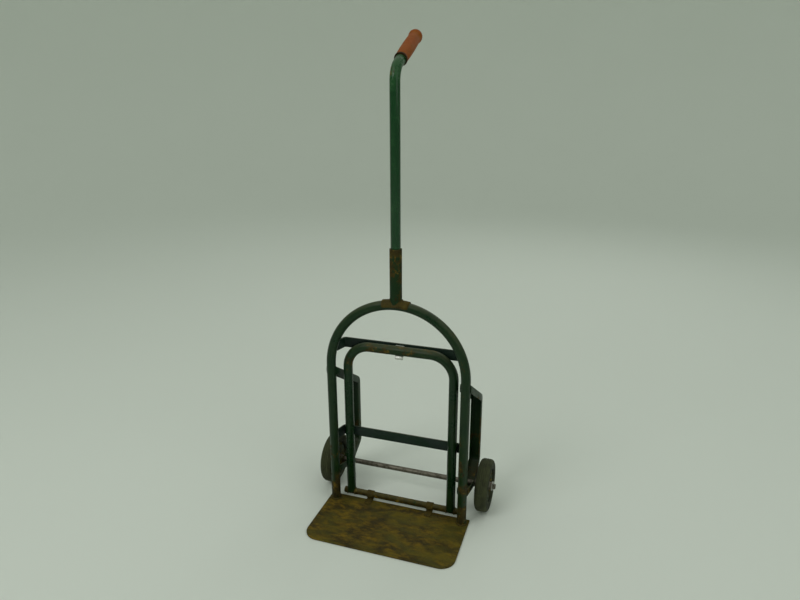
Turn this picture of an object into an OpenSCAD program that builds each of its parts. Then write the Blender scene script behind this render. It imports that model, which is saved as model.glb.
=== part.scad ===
// Hand truck: an arched tube frame on a toe plate, with a fold-down load hoop,
// two channel skids that carry the axle, and a bent handle in a socket.
// Millimetres, +Z up, +Y to the rear, standing on Z = 0.

/* [Frame] */
// Outside diameter of the frame, hoop and handle tube
tube_d = 27.6; // [20:0.1:32]
// Wall of the frame, hoop and handle tube
tube_wall = 1.7; // [1.2:0.1:2.5]
// Distance between the centre lines of the frame's legs
frame_w = 406; // [360:1:520]
// Height of the arch's springing above the floor
spring_z = 464; // [420:1:640]

/* [Toe plate] */
// Width of the toe plate
plate_w = 448; // [420:1:560]
// Reach of the toe plate in front of the legs
plate_front = 202; // [140:1:300]
// Reach of the toe plate behind the legs
plate_rear = 20; // [14:1:22]
// Thickness of the toe plate
plate_t = 4; // [3:0.5:6]
// Radius of the toe plate's front corners
plate_corner = 42; // [10:1:80]

/* [Crossbars] */
// Height of each flat crossbar
bar_h = 31; // [18:1:36]
// Thickness of each flat crossbar
bar_t = 5; // [3:0.5:6]
// Height of the lower crossbar's centre line
lower_bar_z = 226; // [180:1:300]
// Length over which a crossbar's end steps back from its leg
bar_step = 12; // [8:1:20]

/* [Load hoop] */
// Distance between the centre lines of the hoop's legs
hoop_w = 324; // [260:1:334]
// Height of the hoop's top tube, centre line
hoop_z = 520; // [440:1:560]
// Centre line radius of the hoop's top corners
hoop_corner = 70; // [50:1:100]
// Distance of the hoop behind the frame's legs
hoop_y = 29; // [27:0.5:34]
// Outside diameter of the tube that the hoop turns on
pivot_d = 19; // [16:0.5:22]

/* [Skids and axle] */
// Depth of the skid's channel
skid_depth = 22; // [20:0.5:24]
// Sheet thickness of the skid's channel
skid_t = 2.3; // [1.5:0.1:3]
// Height at which the skid's back meets the frame's leg
skid_top_z = 450; // [400:1:500]
// Distance from the legs to the back of the skid
skid_back = 182; // [165:1:230]
// Outside bend radius of the skid
skid_bend = 26; // [25:0.5:34]
// Distance of the axle behind the legs
axle_y = 102; // [95:1:120]
// Diameter of the axle
axle_d = 16; // [12:0.1:17]

/* [Wheels] */
// Diameter over the tyre
wheel_d = 159; // [150:1:200]
// Width of the tyre
wheel_w = 40; // [32:1:50]
// Distance from a skid's side to the wheel's hub
wheel_gap = 11; // [7:0.5:16]
// Diameter of the rim under the tyre
rim_d = 100; // [90:1:110]

/* [Handle] */
// Height of the socket's mouth above the floor
socket_top_z = 827; // [790:1:1000]
// Wall of the socket
socket_wall = 3.12; // [2:0.02:5]
// Height at which the handle starts to bend back
bend_z = 1248; // [1100:1:1400]
// Centre line radius of the handle's bend
bend_r = 52; // [45:1:80]
// Lean of the grip from upright
grip_lean = 63; // [45:1:75]
// Length of the grip
grip_len = 158; // [120:1:180]
// Diameter of the bulb at the grip's end
bulb_d = 38; // [34:1:44]

/* [Clearances] */
// Radial gap of a shaft that turns or slides in its hole
run_gap = 0.08; // [0.02:0.01:0.1]
// Gap between pieces that move past each other
side_gap = 0.3; // [0.3:0.05:0.8]
// Radial gap of a shaft in a drilled hole that holds it
hole_gap = 0.1; // [0.05:0.05:0.5]
// Radial gap of the moulded grip on its tube
grip_gap = 0.1; // [0.05:0.05:0.3]
// Gap between a leg and each flange of the skid that straddles it
skid_gap = 0.2; // [0.1:0.05:0.6]

/* [Hidden] */
$fn = 72;

ENAMEL = [0.12, 0.22, 0.15];
DARK_ENAMEL = [0.07, 0.11, 0.12];
RUST = [0.33, 0.25, 0.13];
STEEL = [0.62, 0.62, 0.6];
RUBBER = [0.25, 0.25, 0.2];
GRIP_RED = [0.7, 0.25, 0.12];

tube_r = tube_d / 2;
skid_w = tube_d + 2 * (skid_t + skid_gap);
leg_x = frame_w / 2;
hoop_x = hoop_w / 2;
arch_r = leg_x;
arch_top_z = spring_z + arch_r;
pivot_r = pivot_d / 2;
// The hoop lies just clear of the toe plate when it is folded down.
pivot_z = plate_t + tube_r + side_gap;
axle_r = axle_d / 2;
wheel_r = wheel_d / 2;
axle_z = wheel_r;
hub_len = wheel_w + 2;
wheel_x = leg_x + skid_w / 2 + wheel_gap + hub_len / 2;

// Spring clip: its bore clears the hoop, and its back stands on the upper crossbar.
clip_r = tube_r + side_gap;
clip_t = 1.5;
clip_w = 25;
clip_leaf = 3;
clip_lip = 11;
clip_splay = 4;
lip_flare = 60;
rivet_d = 4.8;
bar_y = hoop_y + clip_r + clip_t + bar_t / 2;

// Skid outline, as [rearward, up] corners of the outside of its web.
skid_slope = 32;
skid_foot_slope = 17;
skid_heel_slope = 30;
bend_step = 5;
axle_seat = 12;
skid_dip = [axle_y, axle_z - axle_seat];
skid_heel = [skid_back, skid_dip[1] + (skid_back - axle_y) * tan(skid_heel_slope)];
skid_knee = [skid_back, skid_top_z - (skid_back - tube_r) * tan(skid_slope)];
// Both ends run past the legs and are cut off level with the legs' centre lines.
skid_over = 16;
skid_path = [
    [-skid_over, skid_top_z + (tube_r + skid_over) * tan(skid_slope)],
    skid_knee,
    skid_heel,
    skid_dip,
    [-skid_over, skid_dip[1] + (axle_y + skid_over) * tan(skid_foot_slope)]
];

// Socket and saddle on the crown of the arch.
saddle_t = 3.2;
saddle_len = 72;
saddle_r = tube_r + saddle_t;
socket_r = tube_r + run_gap + socket_wall;
crown_z = arch_top_z + saddle_r;
screw_z = socket_top_z - 45;
screw_r = 4;
nut_w = 13;
nut_t = 5.5;
screw_head_w = 9.5;
screw_head_t = 5;
screw_head_gap = 1.5;

// Handle
handle_foot_z = crown_z + side_gap;
bend_end = [bend_r * (1 - cos(grip_lean)), bend_z + bend_r * sin(grip_lean)];
stub_len = 18;
tube_in_grip = 118;
grip_base = bend_end + stub_len * [sin(grip_lean), cos(grip_lean)];
bulb_r = bulb_d / 2;
bulb_back = grip_base[0] + (grip_len - bulb_r) * sin(grip_lean) + bulb_r;

// Axle ends
washer_t = 2;
washer_r = 14;
spacer_r = 11;
hub_out_x = wheel_x + hub_len / 2;
pin_x = hub_out_x + side_gap + washer_t + 3.5;
pin_d = 3;
axle_half = pin_x + 6;

// Hinge straps round the hoop's cross tube
strap_x = 97;
strap_w = 20;
strap_t = 2.5;
strap_tail = 24;
strap_bore_r = pivot_r + run_gap;
strap_r = strap_bore_r + strap_t;
cross_tube_half = leg_x - skid_w / 2 - 2;

// The part is centred on the floor under its own bounding box.
rear_reach = max(bulb_back, axle_y + wheel_r, skid_back);
leg_y = (plate_front - rear_reach) / 2;

module from_legs() {
    translate([0, leg_y, 0]) children();
}

// Turns a drawing whose X is rearward and Y is up into the plane across the part.
module side_view() {
    rotate([90, 0, 90]) children();
}

module side_slab(w) {
    side_view() translate([0, 0, -w / 2]) linear_extrude(w) children();
}

// A round bar between two heights at x, y.
module post(x, y, low, high, r) {
    translate([x, y, low]) cylinder(r = r, h = high - low);
}

// A round bar along X.
module cross_rod(low, high, y, z, r) {
    translate([low, y, z]) rotate([0, 90, 0]) cylinder(r = r, h = high - low);
}

// The section of a tube, or of a solid bar where bore is 0.
module tube_section(r, bore) {
    difference() {
        circle(r = r);
        if (bore > 0) circle(r = bore);
    }
}

// A bend of tube about +Z: its centre line has radius bend, from 0 to the given angle.
module tube_bend(bend, angle, r, bore) {
    rotate_extrude(angle = angle) translate([bend, 0]) tube_section(r, bore);
}

// An upside-down U of tube: legs at +-half, top at top_z, corners of radius corner.
module arch_tube(half, corner, foot, top_z, r, bore) {
    flat = half - corner;
    bend_z = top_z - corner;
    for (side = [-1, 1])
        translate([side * half, 0, foot]) linear_extrude(bend_z - foot) tube_section(r, bore);
    if (flat > 0) {
        for (side = [0, 1]) mirror([side, 0, 0]) translate([flat, 0, bend_z])
            rotate([90, 0, 0]) tube_bend(corner, 90, r, bore);
        translate([-flat, 0, top_z]) rotate([0, 90, 0])
            linear_extrude(2 * flat) tube_section(r, bore);
    } else {
        translate([0, 0, bend_z]) rotate([90, 0, 0]) tube_bend(corner, 180, r, bore);
    }
}

module frame_tube(r, bore) {
    arch_tube(leg_x, arch_r, plate_t, arch_top_z, r, bore);
}

// Flat strip of thickness t along straight lines through pts.
module strip(pts, t) {
    for (i = [0 : len(pts) - 2]) {
        run = pts[i + 1] - pts[i];
        translate(pts[i]) rotate(atan2(run[1], run[0]))
            translate([0, -t / 2]) square([norm(run), t]);
    }
    if (len(pts) > 2)
        for (i = [1 : len(pts) - 2]) translate(pts[i]) circle(d = t);
}

function heading(a, b) = atan2(b[1] - a[1], b[0] - a[0]);
function unit(angle) = [cos(angle), sin(angle)];
function turn(a, b, c) =
    let (change = heading(b, c) - heading(a, b))
    change > 180 ? change - 360 : change < -180 ? change + 360 : change;

// Points along a path that always turns right, with its corners rounded to radius r,
// moved inset to the right.
function bent_line(pts, r, inset) = [
    for (i = [0 : len(pts) - 1])
        let (
            inner = i > 0 && i < len(pts) - 1,
            angle = i == 0 ? heading(pts[0], pts[1]) : heading(pts[i - 1], pts[i]),
            bend = inner ? turn(pts[i - 1], pts[i], pts[i + 1]) : 0,
            steps = inner ? ceil(abs(bend) / bend_step) : 1,
            centre = inner
                ? pts[i] - r * tan(abs(bend) / 2) * unit(angle) + r * unit(angle - 90)
                : pts[i] + r * unit(angle - 90)
        )
        for (k = [0 : inner ? steps : 0])
            centre + (r - inset) * unit(angle + 90 + bend * k / steps)
];

function reversed(list) = [for (i = [len(list) - 1 : -1 : 0]) list[i]];

// Band of the given depth on the right of such a path.
module bent_band(pts, r, depth) {
    polygon(concat(bent_line(pts, r, 0), reversed(bent_line(pts, r, depth))));
}

module toe_plate() {
    color(RUST) from_legs() linear_extrude(plate_t) {
        translate([-plate_w / 2, plate_corner - plate_front])
            square([plate_w, plate_front + plate_rear - plate_corner]);
        translate([plate_corner - plate_w / 2, -plate_front])
            square([plate_w - 2 * plate_corner, plate_front]);
        for (side = [-1, 1])
            translate([side * (plate_w / 2 - plate_corner), plate_corner - plate_front])
                circle(r = plate_corner);
    }
}

module outer_frame() {
    color(ENAMEL) from_legs() frame_tube(tube_r, tube_r - tube_wall);
}

// A flat bar behind the hoop whose ends step forward to the legs.
module crossbar(z, end_x) {
    knee_x = end_x - bar_step;
    difference() {
        translate([0, 0, z - bar_h / 2]) linear_extrude(bar_h)
            strip([[-end_x, 0], [-knee_x, bar_y], [knee_x, bar_y], [end_x, 0]], bar_t);
        frame_tube(tube_r, 0);
    }
}

module upper_crossbar() {
    arch_x = sqrt(pow(arch_r, 2) - pow(max(0, hoop_z - spring_z), 2));
    color(DARK_ENAMEL) from_legs() difference() {
        crossbar(hoop_z, arch_x - bar_t);
        rivet_bore(hole_gap);
    }
}

module lower_crossbar() {
    color(DARK_ENAMEL) from_legs() crossbar(lower_bar_z, leg_x - bar_t);
}

// Channel with its web outside and its two flanges inside the loop.
module skid(side) {
    color(ENAMEL) from_legs() difference() {
        translate([side * leg_x, 0, 0]) {
            side_slab(skid_w) bent_band(skid_path, skid_bend, skid_t);
            for (flange = [-1, 1])
                translate([flange * (skid_w - skid_t) / 2, 0, 0])
                    side_slab(skid_t) bent_band(skid_path, skid_bend, skid_depth);
        }
        translate([side * leg_x - skid_w, -2 * skid_w, 0])
            cube([2 * skid_w, 2 * skid_w, spring_z + skid_w]);
        frame_tube(tube_r, 0);
        cross_rod(-axle_half, axle_half, axle_y, axle_z, axle_r + hole_gap);
    }
}

module crown_ring(r) {
    translate([0, 0, spring_z]) rotate([90, 0, 0]) rotate_extrude() translate([arch_r, 0]) circle(r = r);
}

// Half sleeve over the crown of the arch.
module socket_saddle() {
    half_angle = saddle_len / 2 / arch_r * 180 / PI;
    color(RUST) from_legs() translate([0, 0, spring_z]) rotate([90, 0, 0])
        rotate([0, 0, 90 - half_angle]) rotate_extrude(angle = 2 * half_angle)
            translate([arch_r, 0]) intersection() {
                difference() {
                    circle(r = saddle_r);
                    circle(r = tube_r);
                }
                translate([0, -saddle_r]) square([saddle_r, 2 * saddle_r]);
            }
}

module socket_tube() {
    color(RUST) from_legs() difference() {
        post(0, 0, arch_top_z, socket_top_z, socket_r);
        post(0, 0, arch_top_z - 1, socket_top_z + 1, tube_r + run_gap);
        crown_ring(saddle_r);
        screw_bore(run_gap);
    }
}

module screw_bore(gap) {
    translate([0, 0, screw_z]) rotate([-90, 0, 0])
        cylinder(r = screw_r + gap, h = socket_r + nut_t + 1);
}

module socket_nut() {
    color(RUST) from_legs() difference() {
        translate([-nut_w / 2, 0, screw_z - nut_w / 2]) cube([nut_w, socket_r + nut_t, nut_w]);
        post(0, 0, screw_z - nut_w, screw_z + nut_w, socket_r);
        screw_bore(run_gap);
    }
}

// Square-headed screw that pinches the handle.
module set_screw() {
    tip = tube_r + side_gap;
    head = socket_r + nut_t + screw_head_gap;
    color(STEEL) from_legs() translate([0, 0, screw_z]) {
        rotate([-90, 0, 0]) translate([0, 0, tip]) cylinder(r = screw_r, h = head - tip + 1);
        translate([-screw_head_w / 2, head, -screw_head_w / 2])
            cube([screw_head_w, screw_head_t, screw_head_w]);
    }
}

// Straps welded to the toe plate and rolled round the hoop's cross tube.
module hinge_straps() {
    color(RUST) from_legs() for (side = [-1, 1]) translate([side * strap_x, 0, 0])
        side_slab(strap_w) difference() {
            union() {
                translate([hoop_y, pivot_z]) circle(r = strap_r);
                translate([plate_rear - strap_tail, plate_t])
                    square([strap_tail - plate_rear + hoop_y, strap_t]);
                translate([hoop_y - strap_t, plate_t]) square([strap_t, pivot_z - plate_t]);
            }
            translate([hoop_y, pivot_z]) circle(r = strap_bore_r);
        }
}

// One jaw of the clip: up = 1 above the hoop, -1 below it.
module clip_jaw(up) {
    root = (clip_r + clip_t / 2) * [cos(90 - clip_splay), up * sin(90 - clip_splay)];
    mouth = root + clip_leaf * [-cos(clip_splay), up * sin(clip_splay)];
    lip = mouth + clip_lip * [-cos(lip_flare), up * sin(lip_flare)];
    strip([root, mouth, lip], clip_t);
}

module spring_clip() {
    back = clip_r + clip_t;
    color(STEEL) from_legs() difference() {
        side_slab(clip_w) translate([hoop_y, hoop_z]) {
            intersection() {
                difference() {
                    circle(r = back);
                    circle(r = clip_r);
                }
                polygon([[0, 0], back * [0.2, 3], back * [3, 3], back * [3, -3], back * [0.2, -3]]);
            }
            translate([clip_r, -clip_w / 3]) square([clip_t, clip_w * 2 / 3]);
            clip_jaw(1);
            clip_jaw(-1);
        }
        rivet_bore(hole_gap);
    }
}

module rivet_bore(gap) {
    translate([0, hoop_y + tube_r, hoop_z]) rotate([-90, 0, 0])
        cylinder(r = rivet_d / 2 + gap, h = bar_y + bar_t - hoop_y - tube_r);
}

module clip_rivet() {
    front = hoop_y + clip_r;
    back = bar_y + bar_t / 2;
    color(STEEL) from_legs() translate([0, 0, hoop_z]) {
        translate([0, front, 0]) rotate([-90, 0, 0]) cylinder(d = rivet_d, h = back - front);
        translate([0, back, 0]) rotate([-90, 0, 0]) intersection() {
            translate([0, 0, -rivet_d / 2]) sphere(r = rivet_d);
            cylinder(r = rivet_d, h = rivet_d);
        }
    }
}

module axle() {
    color(STEEL) from_legs() difference() {
        cross_rod(-axle_half, axle_half, axle_y, axle_z, axle_r);
        for (side = [-1, 1])
            post(side * pin_x, axle_y, axle_z - axle_d, axle_z + axle_d, pin_d / 2 + hole_gap);
    }
}

// A plain ring on the axle between two distances from the middle, on both sides.
module axle_rings(low, high, r) {
    from_legs() for (side = [0, 1]) mirror([side, 0, 0]) difference() {
        cross_rod(low, high, axle_y, axle_z, r);
        cross_rod(low - 1, high + 1, axle_y, axle_z, axle_r + run_gap);
    }
}

module axle_spacers() {
    color(STEEL) axle_rings(leg_x + skid_w / 2, wheel_x - hub_len / 2 - side_gap, spacer_r);
}

module axle_washers() {
    color(STEEL) axle_rings(hub_out_x + side_gap, hub_out_x + side_gap + washer_t, washer_r);
}

// Split pins through the axle's ends, with an eye above and bent legs below.
module cotter_pins() {
    eye_r = 3.4;
    leg = 5;
    color(STEEL) from_legs() for (side = [-1, 1]) translate([side * pin_x, axle_y, axle_z]) {
        translate([0, 0, -axle_r - 2]) cylinder(d = pin_d, h = axle_d + 3);
        translate([0, 0, axle_r + eye_r + pin_d / 2]) rotate([0, 90, 0])
            rotate_extrude() translate([eye_r, 0]) circle(d = pin_d * 0.8);
        for (tip = [-1, 1]) translate([0, 0, -axle_r - 1.5]) rotate([tip * 55, 0, 0])
            translate([0, 0, -leg]) cylinder(d = pin_d * 0.7, h = leg);
    }
}

module load_hoop() {
    color(ENAMEL) from_legs() difference() {
        translate([0, hoop_y, 0])
            arch_tube(hoop_x, hoop_corner, pivot_z, hoop_z, tube_r, tube_r - tube_wall);
        cross_rod(-leg_x, leg_x, hoop_y, pivot_z, pivot_r);
    }
}

module hoop_cross_tube() {
    color(ENAMEL) from_legs() difference() {
        cross_rod(-cross_tube_half, cross_tube_half, hoop_y, pivot_z, pivot_r);
        cross_rod(-leg_x, leg_x, hoop_y, pivot_z, pivot_r - tube_wall);
    }
}

// A post, a bend to the rear and a stub; the bend is drawn from both of its ends,
// so that it meets each straight run squarely.
module handle_tube() {
    bore = tube_r - tube_wall;
    color(ENAMEL) from_legs() {
        translate([0, 0, handle_foot_z]) linear_extrude(bend_z - handle_foot_z)
            tube_section(tube_r, bore);
        translate([0, bend_r, bend_z]) mirror([0, 1, 0]) side_view() {
            tube_bend(bend_r, grip_lean, tube_r, bore);
            rotate([0, 0, grip_lean]) {
                mirror([0, 1, 0]) tube_bend(bend_r, grip_lean, tube_r, bore);
                translate([bend_r, 0, 0]) rotate([-90, 0, 0])
                    linear_extrude(stub_len + tube_in_grip) tube_section(tube_r, bore);
            }
        }
    }
}

// Moulded grip with a flange at its mouth and a bulb at its end.
module handle_grip() {
    flange_r = tube_r + 3.9;
    body_r = tube_r + 3;
    belly = 1.2;
    flange_t = 5;
    steps = 14;
    bulb_z = grip_len - bulb_r;
    neck_z = bulb_z - sqrt(pow(bulb_r, 2) - pow(body_r, 2));
    color(GRIP_RED) from_legs() translate([0, grip_base[0], grip_base[1]])
        rotate([-grip_lean, 0, 0]) difference() {
            rotate_extrude() intersection() {
                union() {
                    square([flange_r, flange_t]);
                    polygon(concat(
                        [[0, 0]],
                        [for (i = [0 : steps])
                            [body_r + belly * sin(180 * i / steps), neck_z * i / steps]],
                        [[body_r, bulb_z], [0, bulb_z]]
                    ));
                    translate([0, bulb_z]) circle(r = bulb_r);
                }
                square([bulb_r + 1, grip_len]);
            }
            translate([0, 0, -1]) cylinder(r = tube_r + grip_gap, h = tube_in_grip + 1);
        }
}

// Puts a wheel drawing, which is round +Z with +Z outwards, on its end of the axle.
module on_axle(side) {
    from_legs() translate([side * wheel_x, axle_y, axle_z]) rotate([0, side * 90, 0]) children();
}

module tyre(side) {
    shoulder = 9;
    color(RUBBER) on_axle(side) rotate_extrude() {
        translate([rim_d / 2, -wheel_w / 2])
            square([wheel_r - shoulder - rim_d / 2, wheel_w]);
        translate([rim_d / 2, shoulder - wheel_w / 2])
            square([wheel_r - rim_d / 2, wheel_w - 2 * shoulder]);
        for (edge = [-1, 1])
            translate([wheel_r - shoulder, edge * (wheel_w / 2 - shoulder)]) circle(r = shoulder);
    }
}

// One pressed half of a rim; face = 1 for the outer half, -1 for the inner half.
module rim_half(side, face) {
    sheet = 2;
    hub_r = axle_r + 4;
    seat = rim_d / 2 - sheet / 2;
    color(ENAMEL) on_axle(side) mirror([0, 0, face < 0 ? 1 : 0]) rotate_extrude()
        intersection() {
            strip([
                [hub_r - 1, 8], [hub_r + 12, 8], [hub_r + 20, 14], [seat - 6, 14], [seat, 11], [seat, 0.5]
            ], sheet);
            translate([hub_r, 0]) square([rim_d / 2 - hub_r, wheel_w]);
        }
}

module hub_ring(side, inner, outer, length) {
    on_axle(side) difference() {
        cylinder(r = outer, h = length, center = true);
        cylinder(r = inner, h = length + 2, center = true);
    }
}

module hub(side) {
    color(STEEL) hub_ring(side, axle_r + 2, axle_r + 4, hub_len - 2);
}

module bush(side) {
    color(STEEL) hub_ring(side, axle_r + run_gap, axle_r + 2, hub_len);
}

toe_plate();
outer_frame();
upper_crossbar();
lower_crossbar();
skid(-1);  // left_skid
skid(1);  // right_skid
socket_saddle();
socket_tube();
socket_nut();
set_screw();
hinge_straps();
spring_clip();
clip_rivet();
axle();
axle_spacers();
axle_washers();
cotter_pins();
load_hoop();
hoop_cross_tube();
handle_tube();
handle_grip();
tyre(-1);  // left_tyre
rim_half(-1, 1);  // left_rim_outer
rim_half(-1, -1);  // left_rim_inner
hub(-1);  // left_hub
bush(-1);  // left_bush
tyre(1);  // right_tyre
rim_half(1, 1);  // right_rim_outer
rim_half(1, -1);  // right_rim_inner
hub(1);  // right_hub
bush(1);  // right_bush
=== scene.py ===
"""Hand truck: the looks of its tubes, plate, skids, wheels, socket, handle and grip."""

import math
from functools import partial

import bpy
from mathutils import Euler, Matrix, Vector


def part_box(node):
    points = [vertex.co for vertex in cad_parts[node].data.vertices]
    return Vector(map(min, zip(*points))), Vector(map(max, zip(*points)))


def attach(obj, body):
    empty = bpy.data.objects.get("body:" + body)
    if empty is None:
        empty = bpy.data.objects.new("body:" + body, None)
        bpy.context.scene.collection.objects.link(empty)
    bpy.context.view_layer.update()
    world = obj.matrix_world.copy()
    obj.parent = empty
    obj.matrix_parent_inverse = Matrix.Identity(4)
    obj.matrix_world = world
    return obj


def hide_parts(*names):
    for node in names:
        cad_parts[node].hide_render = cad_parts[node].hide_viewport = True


bl_info = {
    "name": "Hand truck",
    "version": (1, 0, 0),
    "blender": (4, 5, 0),
    "location": "3D View > Sidebar > Hand truck",
    "description": "Builds a worn hand truck around its measured frame",
    "category": "Object",
}

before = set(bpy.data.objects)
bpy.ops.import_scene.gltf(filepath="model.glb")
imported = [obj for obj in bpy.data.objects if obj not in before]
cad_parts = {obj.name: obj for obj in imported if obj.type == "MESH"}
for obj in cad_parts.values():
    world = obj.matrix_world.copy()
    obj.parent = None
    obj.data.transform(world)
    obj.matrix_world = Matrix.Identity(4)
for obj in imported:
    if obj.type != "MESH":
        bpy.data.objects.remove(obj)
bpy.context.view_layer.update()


def box(node):
    low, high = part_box(node)
    return low, high, (low + high) / 2


FRAME_LOW, FRAME_HIGH, FRAME_MID = box("outer_frame")
TUBE_R = (FRAME_HIGH.y - FRAME_LOW.y) / 2
LEG_X = FRAME_HIGH.x - TUBE_R
LEG_Y = FRAME_MID.y
PLATE_TOP = FRAME_LOW.z
ARCH_TOP = FRAME_HIGH.z - TUBE_R
SPRING_Z = ARCH_TOP - LEG_X
HOOP_HIGH, HOOP_MID = box("load_hoop")[1:]
HOOP_X = HOOP_HIGH.x - TUBE_R
HOOP_Y = HOOP_MID.y
HOOP_TOP = HOOP_HIGH.z - TUBE_R
PIVOT_LOW, PIVOT_HIGH, PIVOT_MID = box("hoop_cross_tube")
PIVOT_R = (PIVOT_HIGH.z - PIVOT_LOW.z) / 2
AXLE_LOW, AXLE_HIGH, AXLE_MID = box("axle")
SADDLE_LOW, SADDLE_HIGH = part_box("socket_saddle")
SADDLE_R = (SADDLE_HIGH.y - SADDLE_LOW.y) / 2
# Half the angle that the saddle covers, seen from the arch's centre.
SADDLE_HALF = math.asin(min(1, SADDLE_HIGH.x / (LEG_X + SADDLE_R)))
# The skid's upper run meets the leg's back at this height; its lower run starts below the axle.
SKID_TOP = 0.45
SKID_DIP = Vector((AXLE_MID.y - LEG_Y, AXLE_MID.z - 0.012))
SKID_SLOPE, SKID_FOOT_SLOPE, SKID_HEEL_SLOPE = (math.tan(math.radians(a)) for a in (32, 17, 30))
# Across the truck, from the middle to a hinge strap's middle.
STRAP_X = 0.097
UP = Vector((0, 0, 1))
ACROSS = Vector((1, 0, 0))
REAR = Vector((0, 1, 0))


def linear(code):
    """A colour written as #RRGGBB, turned to linear RGB."""
    shares = [int(code[i : i + 2], 16) / 255 for i in (1, 3, 5)]
    return tuple(c / 12.92 if c <= 0.04045 else ((c + 0.055) / 1.055) ** 2.4 for c in shares)


def length(name, description, metres):
    return bpy.props.FloatProperty(name=name, description=description, default=metres, unit="LENGTH")


class HandTruckSizes(bpy.types.PropertyGroup):
    """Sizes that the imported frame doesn't give."""

    tube_wall: length("Tube wall", "Wall of the bent tubes", 0.0017)
    hoop_corner: length("Hoop corner", "Centre line radius of the hoop's top corners", 0.07)
    bend_start: length("Bend start", "Height at which the handle starts to bend", 1.248)
    bend_radius: length("Bend radius", "Centre line radius of the handle's bend", 0.052)
    grip_lean: bpy.props.FloatProperty(
        name="Grip lean", description="Lean of the grip from upright", subtype="ANGLE", default=math.radians(63),
    )
    grip_stub: length("Grip stub", "Straight tube between the bend and the grip", 0.018)
    plate_corner: length("Plate corner", "Radius of the toe plate's front corners", 0.042)
    plate_wear: length("Plate wear", "Depth of the hollows worn in the toe plate", 0.0007)
    skid_bend: length("Skid bend", "Outside bend radius of the skids", 0.026)
    skid_sheet: length("Skid sheet", "Sheet thickness of the skids", 0.0023)
    bead: length("Weld bead", "Radius of a weld bead", 0.0028)
    tread_groove: length("Tread groove", "Depth of the grooves moulded round the tyres", 0.0012)


def colour(name, description, code):
    return bpy.props.FloatVectorProperty(
        name=name, description=description, subtype="COLOR", size=3, min=0, max=1, default=linear(code)
    )


class HandTruckColours(bpy.types.PropertyGroup):
    """Colours of the finishes, linear."""

    enamel: colour("Enamel", "Green enamel where it is sound", "#083A18")
    # Used only on the handle, paler towards its bend: faded enamel and partly a painted highlight on the lit bend.
    enamel_faded_and_lit: colour("Faded enamel", "Green enamel where it has chalked", "#2A5A2E")
    old_enamel: colour("Old enamel", "Green enamel darkened by oil and soot", "#06280F")
    old_faded: colour("Old faded enamel", "Darkened enamel rubbed olive", "#1F3216")
    dark_enamel: colour("Dark enamel", "Enamel of the flat crossbars", "#202C27")
    rust: colour("Rust", "Settled brown rust", "#4C3F14")
    rust_dark: colour("Dark rust", "Mill scale and old oil", "#2A250F")
    rust_film: colour("Olive film", "Weathered olive film on the plate", "#54501A")
    rust_ochre: colour("Ochre rust", "Fresh rust on worn steel", "#7F661A")
    dust: colour("Dust", "Dust that lies on upper faces", "#7E7A5A")
    rubber: colour("Rubber", "Solid rubber of the tyres", "#1C2014")
    rubber_worn: colour("Worn rubber", "Rubber scuffed pale with dust", "#44482C")
    grip: colour("Grip", "Red-brown moulded grip", "#8A450C")
    grip_faded: colour("Faded grip", "Grip where it has bleached", "#8A5524")
    zinc: colour("Zinc", "Plated spring steel and washers", "#B9BBB4")
    steel: colour("Steel", "Bare drawn steel", "#6F6A5E")
    bronze: colour("Bronze", "Oiled bush", "#8C6A3C")
    floor: colour("Floor", "Plain floor and backdrop", "#DDE3DA")


# Shaping


def leave():
    """Goes back to object mode with nothing selected."""
    if bpy.context.object and bpy.context.object.mode != "OBJECT":
        bpy.ops.object.mode_set(mode="OBJECT")
    bpy.ops.object.select_all(action="DESELECT")


def alone(piece):
    """Leaves only this piece selected and active, in object mode."""
    leave()
    piece.select_set(True)
    bpy.context.view_layer.objects.active = piece


def open_all(piece):
    """Enters edit mode with the whole piece selected."""
    alone(piece)
    bpy.ops.object.mode_set(mode="EDIT")
    bpy.ops.mesh.select_all(action="SELECT")


def close():
    bpy.ops.object.mode_set(mode="OBJECT")


def flip(piece):
    """Turns every face the other way."""
    open_all(piece)
    bpy.ops.mesh.flip_normals()
    close()


def new_piece(name, primitive, location=(0, 0, 0), rotation=(0, 0, 0), scale=(1, 1, 1), **settings):
    """Adds a primitive and puts its place, turn and stretch in its mesh."""
    leave()
    primitive(**settings)
    piece = bpy.context.object
    piece.name = piece.data.name = name
    piece.matrix_world = Matrix.LocRotScale(Vector(location), Euler(rotation), Vector(scale))
    bpy.ops.object.transform_apply(location=True, rotation=True, scale=True)
    return piece


def pick(piece, kind, test):
    """Enters edit mode with only those edges or vertices selected that pass the test. It gets a place
    and an edge's way or a vertex's normal."""
    alone(piece)
    bpy.ops.object.mode_set(mode="EDIT")
    bpy.ops.mesh.select_mode(type=kind)
    bpy.ops.mesh.select_all(action="DESELECT")
    close()
    mesh = piece.data
    if kind == "EDGE":
        for edge in mesh.edges:
            a, b = (mesh.vertices[i].co for i in edge.vertices)
            edge.select = test((a + b) / 2, b - a)
    else:
        for vertex in mesh.vertices:
            vertex.select = test(vertex.co, vertex.normal)
    bpy.ops.object.mode_set(mode="EDIT")


def run(offset):
    """Extrudes what is selected by this much."""
    bpy.ops.mesh.extrude_region_move(TRANSFORM_OT_translate={"value": tuple(offset)})


def swing(centre, axis, angle, steps):
    """Spins what is selected right-handed about an axis."""
    bpy.ops.mesh.spin(steps=steps, angle=angle, center=tuple(centre), axis=tuple(-Vector(axis)))


def outward(piece):
    """Merges doubles and turns the faces outwards."""
    open_all(piece)
    bpy.ops.mesh.remove_doubles(threshold=1e-5)
    bpy.ops.mesh.normals_make_consistent(inside=False)
    close()


def modify(piece, kind, **settings):
    """Adds a modifier and applies it."""
    alone(piece)
    modifier = piece.modifiers.new(kind.title(), kind)
    for key, value in settings.items():
        setattr(modifier, key, value)
    bpy.ops.object.modifier_apply(modifier=modifier.name)


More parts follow.
